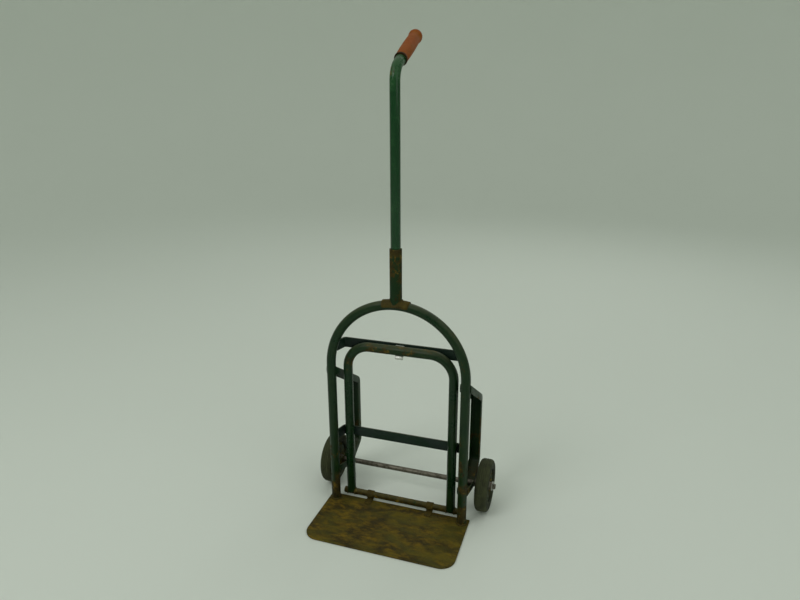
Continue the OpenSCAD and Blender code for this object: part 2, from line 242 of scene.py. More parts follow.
def ease(piece, width, segments=2, angle=40):
    """Rounds the sharp edges and shades the rest smooth."""
    modify(
        piece, "BEVEL", width=width, segments=segments, limit_method="ANGLE",
        angle_limit=math.radians(angle), harden_normals=False,
    )
    alone(piece)
    bpy.ops.object.shade_smooth_by_angle(angle=math.radians(32))


def roughen(piece, texture_size, strength, direction="NORMAL", group="", level=0.5):
    """Displaces a piece by soft clouds of the given size."""
    clouds = bpy.data.textures.new(piece.name + "_clouds", "CLOUDS")
    clouds.noise_scale = texture_size
    clouds.noise_depth = 3
    modify(
        piece, "DISPLACE", texture=clouds, strength=strength, direction=direction,
        texture_coords="LOCAL", mid_level=level, vertex_group=group,
    )


def turned(name, rings, sides=72):
    """A surface of revolution about +Z, from (radius, height) rings; a radius of 0 closes it."""
    tiny = 1e-6
    rings = [(max(r, tiny), h) for r, h in rings]
    piece = new_piece(
        name, bpy.ops.mesh.primitive_circle_add, vertices=sides, radius=rings[0][0],
        location=(0, 0, rings[0][1]), fill_type="NOTHING",
    )
    open_all(piece)
    for (r0, h0), (r1, h1) in zip(rings, rings[1:]):
        run((0, 0, h1 - h0))
        bpy.ops.transform.resize(value=(r1 / r0, r1 / r0, 1), center_override=(0, 0, h1))
    outward(piece)
    return piece


def rounded(corners, radius, steps=5):
    """(radius, height) corners of a profile with each inner corner rounded off."""
    points = [Vector(corners[0])]
    for before, here, after in zip(corners, corners[1:], corners[2:]):
        before, here, after = Vector(before), Vector(here), Vector(after)
        back, on = before - here, after - here
        reach = min(radius, back.length * 0.45, on.length * 0.45)
        a, b = here + back.normalized() * reach, here + on.normalized() * reach
        for i in range(steps + 1):
            t = i / steps
            points.append(a * (1 - t) ** 2 + here * 2 * t * (1 - t) + b * t**2)
    points.append(Vector(corners[-1]))
    return [tuple(p) for p in points]


def place(piece, position, rotation=(0, 0, 0)):
    """Puts a piece made at the origin in its place, in its mesh."""
    alone(piece)
    piece.matrix_world = Matrix.Translation(position) @ Euler(rotation).to_matrix().to_4x4()
    bpy.ops.object.transform_apply(location=True, rotation=True, scale=True)


def copy_of(piece, name):
    other = bpy.data.objects.new(name, piece.data.copy())
    bpy.context.scene.collection.objects.link(other)
    return other


def joined(name, pieces):
    """Joins pieces into the first one."""
    alone(pieces[0])
    for piece in pieces:
        piece.select_set(True)
    bpy.ops.object.join()
    pieces[0].name = pieces[0].data.name = name
    return pieces[0]


def mirrored(piece, name):
    """The piece's twin on the other side of the truck, with its own mesh."""
    twin = copy_of(piece, name)
    open_all(twin)
    bpy.ops.transform.mirror(constraint_axis=(True, False, False), center_override=(0, 0, 0))
    bpy.ops.mesh.flip_normals()
    close()
    return twin


def tube(name, start, heading, radius, wall, moves, sides=48):
    """A tube swept from start along runs (offset) and bends (centre, axis, angle, steps)."""
    piece = new_piece(
        name, bpy.ops.mesh.primitive_circle_add, vertices=sides, radius=radius, location=tuple(start),
        rotation=Vector(heading).to_track_quat("Z", "Y").to_euler(), fill_type="NOTHING",
    )
    open_all(piece)
    for move in moves:
        if len(move) == 4:
            swing(*move)
        else:
            run(move)
    outward(piece)
    modify(piece, "SOLIDIFY", thickness=wall, offset=-1)
    ease(piece, 0.0004, 2, 60)
    return piece


def eased_copy(node, name, width, segments=2):
    """A copy of a plain part with its facets merged and its sharp edges rounded."""
    piece = copy_of(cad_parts[node], name)
    piece.data.materials.clear()
    open_all(piece)
    bpy.ops.mesh.remove_doubles(threshold=2e-6)
    bpy.ops.mesh.dissolve_limited(angle_limit=math.radians(0.6))
    close()
    ease(piece, width, segments, 48)
    return piece


def fit(piece, body, slot, finish, *nodes):
    """Gives a finished piece its material and the body that it moves with."""
    piece.data.materials.clear()
    piece.data.materials.append(finish_of(finish))
    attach(piece, body)
    if nodes:
        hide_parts(*nodes)


def fit_copy(node, name, width, body, slot, finish):
    """Fits an eased copy in the place of a node."""
    fit(eased_copy(node, name, width), body, slot, finish, node)


# Materials


def wire(node, feeds):
    """Links or sets a node's sockets; a node given as a value stands for its first output."""
    for socket, value in feeds.items():
        if isinstance(value, bpy.types.Node):
            value = value.outputs[0]
        if isinstance(value, bpy.types.NodeSocket):
            node.id_data.links.new(value, node.inputs[socket])
        elif node.inputs[socket].type == "RGBA":
            node.inputs[socket].default_value = (*value, 1)
        else:
            node.inputs[socket].default_value = value


def add(tree, kind, feeds=None, **settings):
    """Adds one shader node."""
    made = tree.nodes.new("ShaderNode" + kind)
    for key, value in settings.items():
        setattr(made, key, value)
    wire(made, feeds or {})
    return made


def start_material(name):
    """A new material, the node helper for its tree, its shader and its coordinates."""
    material = bpy.data.materials.new(name)
    material.use_nodes = True
    node = partial(add, material.node_tree)
    material.node_tree.nodes.clear()
    shader = node("BsdfPrincipled")
    node("OutputMaterial", {"Surface": shader})
    return material, node, shader, node("TexCoord")


def per_metre(size_mm):
    """The noise scale whose features are this many millimetres across."""
    return 1000 / size_mm


def enamelled_steel(
    name, sound, faded, rust_share, low_z, high_z, low_bias, high_bias, gloss=0.26, dust_share=0.5
):
    """Brushed-on gloss enamel over steel tube: deep and glossy where sound, chalky where rubbed, and
    chipped through to matt brown rust that gathers towards the heights given."""
    c = bpy.context.scene.hand_truck_colours
    material, node, shader, where = start_material(name)
    at = where.outputs["Object"]
    height = node("SeparateXYZ", {0: at}).outputs["Z"]
    # Sizes in mm: patches of wear, chips that break them up, the rust's tone, its pits, brush marks.
    patches, chips, rust_tone, pits, brushed = (
        node("TexNoise", {"Vector": at, "Scale": per_metre(size), "Detail": detail, "Roughness": rough})
        for size, detail, rough in (
            (70, 5.0, 0.62), (7, 5.0, 0.7), (16, 6.0, 0.65), (2.5, 4.0, 0.5), (12, 2.0, 0.5)
        )
    )
    both = node("Math", {0: chips, 1: 0.45, 2: patches}, operation="MULTIPLY_ADD")
    bias = node(
        "MapRange",
        {"Value": height, "From Min": low_z, "From Max": high_z, "To Min": low_bias, "To Max": high_bias},
    )
    raised = node("Math", {0: both, 1: bias}, operation="ADD")
    bare = node(
        "MapRange", {"Value": raised, "From Min": 0.93 - rust_share, "From Max": 1.0 - rust_share},
        interpolation_type="SMOOTHSTEP",
    )
    chalk = node(
        "MapRange",
        {"Value": raised, "From Min": 0.66 - rust_share, "From Max": 0.98 - rust_share, "To Max": 0.75},
    )
    tone = node("MapRange", {"Value": rust_tone, "From Min": 0.38, "From Max": 0.66})
    ochre_at = node("MapRange", {"Value": rust_tone, "From Min": 0.57, "From Max": 0.7})
    # Dust settles on what faces up.
    upward = node("SeparateXYZ", {0: where.outputs["Normal"]}).outputs["Z"]
    lying = node("MapRange", {"Value": upward, "From Min": 0.25, "From Max": 0.95, "To Max": dust_share})
    dusty = node("Math", {0: lying, 1: patches}, operation="MULTIPLY")
    rust = c.rust_dark
    for share, tint in ((tone, c.rust), (ochre_at, c.rust_ochre)):
        rust = node("Mix", {0: share, 6: rust, 7: tint}, data_type="RGBA").outputs[2]
    skin = sound
    for share, tint in ((chalk, faded), (bare, rust), (dusty, c.dust)):
        skin = node("Mix", {0: share, 6: skin, 7: tint}, data_type="RGBA").outputs[2]
    rough = node("MapRange", {"Value": chalk, "To Min": gloss, "To Max": gloss + 0.24})
    for share, level in ((bare, 0.8), (dusty, 0.85)):
        rough = node("Mix", {0: share, 2: rough, 3: level}, data_type="FLOAT")
    # The enamel stands above the chipped steel, whose rust is pitted.
    sunk = node("Math", {0: bare, 1: -0.6}, operation="MULTIPLY")
    pitted = node("Math", {0: pits, 1: bare}, operation="MULTIPLY")
    relief = node("Math", {0: sunk, 1: pitted}, operation="ADD")
    relief = node("Math", {0: brushed, 1: 0.5, 2: relief}, operation="MULTIPLY_ADD")
    bump = node("Bump", {"Height": relief, "Strength": 0.6, "Distance": 0.0006})
    wire(shader, {"Base Color": skin, "Roughness": rough, "Specular IOR Level": 0.5 - gloss, "Normal": bump})
    return material


def rusted_steel(name, ochre_share, streak=1.0, oiled=0.5, film_share=0.2):
    """Hot-rolled mild steel left bare: dark mill scale worn through to brown and ochre rust, matt and
    pitted, with rubbed streaks along the way that loads slide."""
    c = bpy.context.scene.hand_truck_colours
    material, node, shader, where = start_material(name)
    at = where.outputs["Object"]
    stretched = node("Mapping", {"Vector": at, "Scale": (1 / streak, streak**0.5, 1.0)}).outputs[0]
    # Sizes in mm: rust blooms, mottling, grit and an olive film.
    blooms, mottle, grit, haze = (
        node("TexNoise", {
            "Vector": over, "Scale": per_metre(size), "Detail": detail, "Roughness": rough,
            "Distortion": bent,
        })
        for over, size, detail, rough, bent in (
            (stretched, 32, 8.0, 0.7, 0.3), (stretched, 9, 6.0, 0.7, 0.0), (at, 2, 3.0, 0.5, 0.0),
            (stretched, 80, 5.0, 0.7, 0.0),
        )
    )
    mixed = node("Math", {0: mottle, 1: 0.5, 2: blooms}, operation="MULTIPLY_ADD")
    spots = node(
        "TexVoronoi", {"Vector": stretched, "Scale": per_metre(34)}, feature="F1"
    ).outputs["Distance"]
    skin = c.rust_dark
    for value, low, high, least, most, tint in (
        (mixed, 0.55, 0.86, 0.0, 1.0, c.rust),
        (mixed, 0.74 - ochre_share, 1.0 - ochre_share, 0.0, 0.8, c.rust_ochre),
        (haze, 0.42, 0.6, 0.0, film_share, c.rust_film),
        (spots, 0.12, 0.42, oiled, 0.0, c.rust_dark),
        (grit, 0.62, 0.72, 0.0, 0.35, c.dust),
    ):
        share = node(
            "MapRange", {"Value": value, "From Min": low, "From Max": high, "To Min": least, "To Max": most}
        )
        skin = node("Mix", {0: share, 6: skin, 7: tint}, data_type="RGBA").outputs[2]
    rough = node(
        "MapRange", {"Value": mixed, "From Min": 0.5, "From Max": 1.0, "To Min": 0.5, "To Max": 0.88}
    )
    relief = node("Math", {0: mottle, 1: 0.6, 2: grit}, operation="MULTIPLY_ADD")
    bump = node("Bump", {"Height": relief, "Strength": 0.7, "Distance": 0.0008})
    wire(shader, {"Base Color": skin, "Roughness": rough, "Specular IOR Level": 0.15, "Normal": bump})
    return material


def dusty_rubber():
    """Solid moulded rubber: grey-brown and matt, scuffed pale on the tread's shoulders and dusty all over."""
    c = bpy.context.scene.hand_truck_colours
    material, node, shader, where = start_material("solid_rubber")
    at = where.outputs["Object"]
    scuffs = node("TexNoise", {"Vector": at, "Scale": per_metre(22), "Detail": 6.0, "Roughness": 0.68})
    grain = node("TexNoise", {"Vector": at, "Scale": per_metre(2.5), "Detail": 3.0})
    parts = node("SeparateXYZ", {0: at})
    # How far a point is from the axle's line, for the shoulder's scuffed band.
    rise = node("Math", {0: parts.outputs["Z"], 1: AXLE_MID.z}, operation="SUBTRACT")
    back = node("Math", {0: parts.outputs["Y"], 1: AXLE_MID.y}, operation="SUBTRACT")
    rise2 = node("Math", {0: rise, 1: rise}, operation="MULTIPLY")
    square = node("Math", {0: back, 1: back, 2: rise2}, operation="MULTIPLY_ADD")
    reach = node("Math", {0: square}, operation="SQRT")
    tread = node("MapRange", {"Value": reach, "From Min": 0.066, "From Max": 0.0785, "To Max": 0.6})
    rubbed = node("MapRange", {"Value": scuffs, "From Min": 0.4, "From Max": 0.62, "To Max": 0.7})
    worn = node("Math", {0: tread, 1: rubbed}, operation="ADD", use_clamp=True)
    worn = node("Math", {0: worn, 1: 0.75}, operation="MULTIPLY")
    skin = node("Mix", {0: worn, 6: c.rubber, 7: c.rubber_worn}, data_type="RGBA").outputs[2]
    relief = node("Math", {0: scuffs, 1: 0.8, 2: grain}, operation="MULTIPLY_ADD")
    bump = node("Bump", {"Height": relief, "Strength": 0.55, "Distance": 0.0008})
    wire(shader, {"Base Color": skin, "Roughness": 0.86, "Specular IOR Level": 0.35, "Normal": bump})
    return material


def grip_seat():
    """Where the grip's foot sits on the bent tube, and the way that the grip points."""
    s = bpy.context.scene.hand_truck_sizes
    along = Vector((0, math.sin(s.grip_lean), math.cos(s.grip_lean)))
    bend_end = Vector(
        (
            0, LEG_Y + s.bend_radius * (1 - math.cos(s.grip_lean)),
            s.bend_start + s.bend_radius * math.sin(s.grip_lean),
        )
    )
    return bend_end + along * s.grip_stub, along


def moulded_grip():
    """Soft dip-moulded vinyl: red-brown, bleached in patches, soiled by hands, satin with a fine grain."""
    c = bpy.context.scene.hand_truck_colours
    material, node, shader, where = start_material("moulded_vinyl")
    at = where.outputs["Object"]
    # Sizes in mm: bleached patches, hand soil and the vinyl's grain.
    bleach, soil, grain = (
        node("TexNoise", {"Vector": at, "Scale": per_metre(size), "Detail": detail, "Roughness": rough})
        for size, detail, rough in ((38, 4.0, 0.55), (13, 6.0, 0.7), (1.6, 2.0, 0.5))
    )
    # The rim against the tube is painted near black over its first 7 mm: painted shade where the grip meets the
    # tube.
    base, along = grip_seat()
    up_grip = node("VectorMath", {0: at, 1: tuple(along)}, operation="DOT_PRODUCT").outputs["Value"]
    shaded_rim_start = base.dot(along)
    skin = c.grip
    for value, low, high, least, most, tint in (
        (bleach, 0.46, 0.64, 0.0, 0.6, c.grip_faded),
        (soil, 0.52, 0.72, 0.0, 0.5, c.rust),
        # Painted shade at the grip's foot, in the tyres' rubber colour.
        (up_grip, shaded_rim_start + 0.0045, shaded_rim_start + 0.009, 0.9, 0.0, c.rubber),
    ):
        share = node(
            "MapRange", {"Value": value, "From Min": low, "From Max": high, "To Min": least, "To Max": most}
        )
        skin = node("Mix", {0: share, 6: skin, 7: tint}, data_type="RGBA").outputs[2]
    rough = node("MapRange", {"Value": soil, "From Min": 0.3, "From Max": 0.7, "To Min": 0.4, "To Max": 0.62})
    bump = node("Bump", {"Height": grain, "Strength": 0.3, "Distance": 0.0003})
    wire(shader, {"Base Color": skin, "Roughness": rough, "Specular IOR Level": 0.08, "Normal": bump})
    return material


def bare_metal(name, tone, soiling, metallic, roughness, tarnish):
    """Plain or plated steel, or bronze: drawn or stamped, so finely grained, with brown film in patches."""
    material, node, shader, where = start_material(name)
    at = where.outputs["Object"]
    cloud = node("TexNoise", {"Vector": at, "Scale": per_metre(9), "Detail": 6.0, "Roughness": 0.65})
    fine = node("TexNoise", {"Vector": at, "Scale": per_metre(1.5), "Detail": 3.0})
    film = node("MapRange",
        {"Value": cloud, "From Min": 0.62 - tarnish, "From Max": 0.8 - tarnish, "To Max": 0.85},
    )
    skin = node("Mix", {0: film, 6: tone, 7: soiling}, data_type="RGBA").outputs[2]
    metal = node("MapRange", {"Value": film, "To Min": metallic, "To Max": 0.15})
    rough = node("MapRange", {"Value": film, "To Min": roughness, "To Max": 0.78})
    bump = node("Bump", {"Height": fine, "Strength": 0.35, "Distance": 0.0002})
    wire(shader, {"Base Color": skin, "Metallic": metal, "Roughness": rough, "Normal": bump})
    return material


FINISHES = {}


def finish_of(name):
    """One material of each kind, made when it is first asked for."""
    if name in FINISHES:
        return FINISHES[name]
    c = bpy.context.scene.hand_truck_colours
    aged = (name, c.old_enamel, c.old_faded)
    # The enamels' numbers: share of rust, heights between which it grows, its bias at each, gloss, dust.
    kinds = {
        # The handle chalks paler towards its bend: faded enamel, and partly a painted highlight where the bend
        # faces up to the light.
        "handle_enamel": (enamelled_steel, name, c.enamel, c.enamel_faded_and_lit, 0.0, 1.15, 1.29, -0.1, 0.16, 0.16, 0.1),
        "frame_enamel": (enamelled_steel, *aged, 0.08, 0.03, 0.5, 0.16, 0.0, 0.26, 0.4),
        "hoop_enamel": (enamelled_steel, *aged, 0.02, 0.4, 0.53, 0.0, 0.2, 0.26, 0.4),
        "skid_enamel": (enamelled_steel, *aged, 0.1, 0.06, 0.46, 0.12, 0.0, 0.32, 0.35),
        "rim_enamel": (enamelled_steel, *aged, 0.2, 0.0, 0.16, 0.08, 0.0, 0.4),
        "pivot_enamel": (enamelled_steel, *aged, 0.26, 0.0, 1.0, 0.08, 0.08, 0.45),
        "socket_enamel": (enamelled_steel, *aged, 0.12, 0.7, 0.83, 0.02, 0.24, 0.36),
        "crossbar_enamel": (
            enamelled_steel, name, c.dark_enamel, c.old_enamel, 0.02, 0.0, 1.0, 0.0, 0.0, 0.34, 0.3
        ),
        "plate_steel": (rusted_steel, name, 0.04, 1.7, 0.3, 0.6),
        "weld_steel": (rusted_steel, name, -0.1, 1.0, 0.6, 0.1),
        "zinc_steel": (bare_metal, name, c.zinc, c.rust, 0.85, 0.36, 0.0),
        "axle_steel": (bare_metal, name, c.steel, c.rust_dark, 0.75, 0.45, 0.14),
        "bronze": (bare_metal, name, c.bronze, c.rust_dark, 0.9, 0.4, 0.05),
        "rubber": (dusty_rubber,),
        "grip": (moulded_grip,),
    }
    kind, *settings = kinds[name]
    FINISHES[name] = kind(*settings)
    return FINISHES[name]


# Operators


class HANDTRUCK_OT_arched_frame(bpy.types.Operator):
    """Bend the outer frame from one tube: a leg, half a circle and a leg"""

    bl_idname = "handtruck.arched_frame"
    bl_label = "Arched frame"

    def execute(self, context):
        s = context.scene.hand_truck_sizes
        piece = tube(
            "frame_arch", (-LEG_X, LEG_Y, PLATE_TOP), UP, TUBE_R, s.tube_wall,
            [
                (0, 0, SPRING_Z - PLATE_TOP),
                ((0, LEG_Y, SPRING_Z), REAR, math.pi, 72),
                (0, 0, PLATE_TOP - SPRING_Z),
            ],
        )
        fit(piece, "frame", "green_enamel", "frame_enamel", "outer_frame")
        return {"FINISHED"}


class HANDTRUCK_OT_load_hoop(bpy.types.Operator):
    """Bend the fold-down load hoop and the cross tube that it turns on"""

    bl_idname = "handtruck.load_hoop"
    bl_label = "Load hoop"

    def execute(self, context):
        s = context.scene.hand_truck_sizes
        r = s.hoop_corner
        hoop = tube(
            "hoop_tube", (-HOOP_X, HOOP_Y, PIVOT_MID.z), UP, TUBE_R, s.tube_wall,
            [
                (0, 0, HOOP_TOP - r - PIVOT_MID.z),
                ((-HOOP_X + r, HOOP_Y, HOOP_TOP - r), REAR, math.pi / 2, 28),
                (2 * (HOOP_X - r), 0, 0),
                ((HOOP_X - r, HOOP_Y, HOOP_TOP - r), REAR, math.pi / 2, 28),
                (0, 0, PIVOT_MID.z - HOOP_TOP + r),
            ],
        )
        fit(hoop, "hoop", "green_enamel", "hoop_enamel", "load_hoop")
        cross = tube(
            "hoop_pivot_tube", (PIVOT_LOW.x, HOOP_Y, PIVOT_MID.z), ACROSS, PIVOT_R, s.tube_wall,
            [(PIVOT_HIGH.x - PIVOT_LOW.x, 0, 0)],
        )
        fit(cross, "hoop", "green_enamel", "pivot_enamel", "hoop_cross_tube")
        return {"FINISHED"}


class HANDTRUCK_OT_handle(bpy.types.Operator):
    """Bend the handle's tube back and mould the grip on its end"""

    bl_idname = "handtruck.handle"
    bl_label = "Handle and grip"

    def execute(self, context):
        s = context.scene.hand_truck_sizes
        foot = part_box("handle_tube")[0].z
        lean, r = s.grip_lean, s.bend_radius
        base, along = grip_seat()
        piece = tube(
            "handle_bend", (0, LEG_Y, foot), UP, TUBE_R, s.tube_wall,
            [
                (0, 0, s.bend_start - foot),
                ((0, LEG_Y + r, s.bend_start), -ACROSS, lean, 24),
                along * (s.grip_stub + 0.1),
            ],
        )
        fit(piece, "handle", "green_enamel", "handle_enamel", "handle_tube")
        body, flange, bulb, length = TUBE_R + 0.003, TUBE_R + 0.0039, 0.019, 0.15797
        heart = length - bulb
        rings = [(TUBE_R + 0.0001, 0.012), (TUBE_R + 0.0001, 0.0007)]
        rings += rounded(
            [(TUBE_R + 0.0004, 0.0), (flange, 0.0), (flange, 0.005), (body - 0.0002, 0.006)], 0.0016, 4
        )
        rings += [
            (
                body + 0.0012 * math.sin(math.pi * i / 14), 0.006 + (heart - 0.0176) * i / 14
            ) for i in range(1, 15)
        ]
        neck = math.asin(body / bulb)
        first = math.pi - neck
        rings += [
            (
                bulb * math.sin(first * (1 - i / 14)), heart + bulb * math.cos(first * (1 - i / 14))
            ) for i in range(1, 15)
        ]
        grip = turned("grip_moulding", rings, 64)
        # The mould's parting line runs along both sides.
        for vertex in grip.data.vertices:
            if abs(vertex.co.y) < 1e-4 and vertex.co.z > 0.006 and abs(vertex.co.x) > 0.004:
                vertex.co.x += math.copysign(0.00035, vertex.co.x)
        ease(grip, 0.0003, 1, 75)
        place(grip, base, (-lean, 0, 0))
        fit(grip, "handle", "grip_plastic", "grip", "handle_grip")
        return {"FINISHED"}


class HANDTRUCK_OT_toe_plate(bpy.types.Operator):
    """Cut the toe plate, round its front corners and wear hollows in its top"""

    bl_idname = "handtruck.toe_plate"
    bl_label = "Toe plate"

    def execute(self, context):
        s = context.scene.hand_truck_sizes
        low, high, middle = box("toe_plate")
        piece = new_piece(
            "toe_plate_sheet", bpy.ops.mesh.primitive_cube_add, size=1, location=tuple(middle),
            scale=tuple(high - low),
        )
        pick(piece, "EDGE", lambda at, way: at.y < middle.y and abs(way.z) > 0.001)
        bpy.ops.mesh.bevel(offset=s.plate_corner, segments=14, affect="EDGES")
        for axis, first, last in ((0, low.x, high.x), (1, low.y, high.y)):
            count = round((last - first) / 0.016)
            for i in range(1, count):
                cut, normal = [0, 0, 0], [0, 0, 0]
                cut[axis], normal[axis] = first + (last - first) * i / count, 1
                bpy.ops.mesh.select_all(action="SELECT")
                bpy.ops.mesh.bisect(plane_co=cut, plane_no=normal)
        outward(piece)
        top = piece.vertex_groups.new(name="top")
        edge = 0.012
        for vertex in piece.data.vertices:
            x, y, z = vertex.co
            if z > middle.z:
                inset = min(x - low.x, high.x - x, y - low.y, high.y - y)
                top.add([vertex.index], min(1, max(0, inset / edge)), "ADD")
        roughen(piece, 0.07, s.plate_wear, "Z", "top", 0.85)
        ease(piece, 0.0009, 3, 50)
        fit(piece, "frame", "rusty_plate", "plate_steel", "toe_plate")
        return {"FINISHED"}


class HANDTRUCK_OT_crossbars(bpy.types.Operator):
    """Fold the two flat crossbars whose ends step forward to the legs"""

    bl_idname = "handtruck.crossbars"
    bl_label = "Crossbars"

    def execute(self, context):
        for node, name in (("upper_crossbar", "crossbar_upper"), ("lower_crossbar", "crossbar_lower")):
            low, high, middle = box(node)
            thick = 0.005
            back = high.y - thick / 2
            leg = LEG_X if middle.z < SPRING_Z else math.sqrt(LEG_X**2 - (middle.z - SPRING_Z) ** 2)
            end, step = leg - thick, 0.012
            knee = end - step
            slope = Vector((end - knee, LEG_Y - back, 0))
            reach = slope * 0.8
            piece = new_piece(
                name, bpy.ops.mesh.primitive_plane_add, size=1, location=(0, back, middle.z),
                rotation=(math.pi / 2, 0, 0), scale=(2 * knee, high.z - low.z, 1),
            )
            for side in (1, -1):
                pick(piece, "EDGE", lambda at, way: at.x * side > knee - 1e-4)
                run((reach.x * side, reach.y, 0))
            pick(piece, "EDGE", lambda at, way: abs(abs(at.x) - knee) < 1e-4 and abs(way.z) > 0.01)
            bpy.ops.mesh.bevel(offset=0.006, segments=6, affect="EDGES")
            outward(piece)
            modify(piece, "SOLIDIFY", thickness=thick, offset=0, use_even_offset=True)
            ease(piece, 0.0007, 3, 50)
            fit(piece, "frame", "dark_enamel", "crossbar_enamel", node)
        return {"FINISHED"}


class HANDTRUCK_OT_skids(bpy.types.Operator):
    """Roll the channel of one skid round its loop, trim it at the leg and copy it to the other side"""

    bl_idname = "handtruck.skids"
    bl_label = "Skids"

    def execute(self, context):
        s = context.scene.hand_truck_sizes
        low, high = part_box("right_skid")
        width, depth, r = high.x - low.x, 0.022, s.skid_bend
        back = high.y - LEG_Y
        heel = Vector((back, SKID_DIP.y + (back - SKID_DIP.x) * SKID_HEEL_SLOPE))
        knee = Vector((back, SKID_TOP - (back - TUBE_R) * SKID_SLOPE))
        # Both ends run past the leg's middle and are trimmed there.
        over = 0.016
        path = [
            Vector((-over, SKID_TOP + (TUBE_R + over) * SKID_SLOPE)), knee, heel, SKID_DIP,
            Vector((-over, SKID_DIP.y + (SKID_DIP.x + over) * SKID_FOOT_SLOPE)),
        ]
        first = (path[1] - path[0]).normalized()
        inner = Vector((first.y, -first.x))
        centre = path[0] + inner * depth / 2
        piece = new_piece(
            "skid_right", bpy.ops.mesh.primitive_plane_add, size=1,
            location=(LEG_X, LEG_Y + centre.x, centre.y),
            rotation=(math.atan2(inner.y, inner.x), 0, 0), scale=(width, depth, 1),
        )
        tip = path[0] + inner * depth
        pick(piece, "EDGE", lambda at, way: (at - Vector((LEG_X, LEG_Y + tip.x, tip.y))).length < 1e-4)
        bpy.ops.mesh.delete(type="EDGE_FACE")
        web = path[0]
        pick(piece, "VERT", lambda at, way: (Vector((at.y - LEG_Y, at.z)) - web).length < 1e-4)
        bpy.ops.mesh.bevel(offset=0.0042, segments=5, affect="VERTICES")
        bpy.ops.mesh.select_all(action="SELECT")
        headings = [(b - a).normalized() for a, b in zip(path, path[1:])]
        trims = [0.0]
        for a, b in zip(headings, headings[1:]):
            trims.append(r * math.tan(a.angle(b) / 2))
        trims.append(0.0)
        for i, way in enumerate(headings):
            length = (path[i + 1] - path[i]).length - trims[i] - trims[i + 1]
            run((0, way.x * length, way.y * length))
            if i + 1 < len(headings):
                after = headings[i + 1]
                corner = path[i + 1] - way * trims[i + 1] + Vector((way.y, -way.x)) * r
                turn = way.angle(after)
                swing(
                    (LEG_X, LEG_Y + corner.x, corner.y), -ACROSS, turn, max(6, round(math.degrees(turn) / 5))
                )
        bpy.ops.mesh.select_all(action="SELECT")
        bpy.ops.mesh.bisect(plane_co=(0, LEG_Y, 0), plane_no=(0, 1, 0), clear_inner=True)
        outward(piece)
        webs = [f for f in piece.data.polygons if f.center.y > high.y - 0.0005 and abs(f.normal.y) > 0.9]
        if not webs:
            raise RuntimeError("the skid's back was not found")
        if webs[0].normal.y < 0:
            flip(piece)
        modify(piece, "SOLIDIFY", thickness=s.skid_sheet, offset=-1, use_even_offset=True)
        ease(piece, 0.0005, 2, 50)
        other = mirrored(piece, "skid_left")
        fit(piece, "frame", "green_enamel", "skid_enamel", "right_skid")
        fit(other, "frame", "green_enamel", "skid_enamel", "left_skid")
        return {"FINISHED"}


class HANDTRUCK_OT_socket(bpy.types.Operator):
    """Make the socket, the saddle under it, the nut and the square-headed set screw"""

    bl_idname = "handtruck.socket"
    bl_label = "Socket"

    def execute(self, context):
        low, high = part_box("socket_tube")
        r = (high.x - low.x) / 2
        socket = tube(
            "socket_sleeve", (0, LEG_Y, low.z), UP, r, r - TUBE_R - 0.00008, [(0, 0, high.z - low.z)], 64
        )
        fit(socket, "frame", "worn_enamel", "socket_enamel", "socket_tube")
        half = SADDLE_HALF
        start = (-LEG_X * math.sin(half), LEG_Y, SPRING_Z + LEG_X * math.cos(half))
        saddle = new_piece(
            "saddle_sleeve", bpy.ops.mesh.primitive_circle_add, vertices=64, radius=SADDLE_R, location=start,
            rotation=(0, math.pi / 2 - half, 0), fill_type="NOTHING",
        )
        out = Vector((-math.sin(half), 0, math.cos(half)))
        pick(saddle, "VERT", lambda at, way: (at - Vector(start)).dot(out) < -1e-4)
        bpy.ops.mesh.delete(type="VERT")
        bpy.ops.mesh.select_all(action="SELECT")
        swing((0, LEG_Y, SPRING_Z), REAR, 2 * half, 20)
        outward(saddle)
        if max(saddle.data.polygons, key=lambda f: f.center.z).normal.z < 0:
            flip(saddle)
        modify(saddle, "SOLIDIFY", thickness=SADDLE_R - TUBE_R, offset=-1)
        ease(saddle, 0.0008, 3, 50)
        fit(saddle, "frame", "rusty_plate", "weld_steel", "socket_saddle")
        fit_copy("socket_nut", "nut_square", 0.0007, "frame", "rusty_plate", "weld_steel")
        fit_copy("set_screw", "screw_square_head", 0.0008, "screw", "zinc_steel", "zinc_steel")
        return {"FINISHED"}


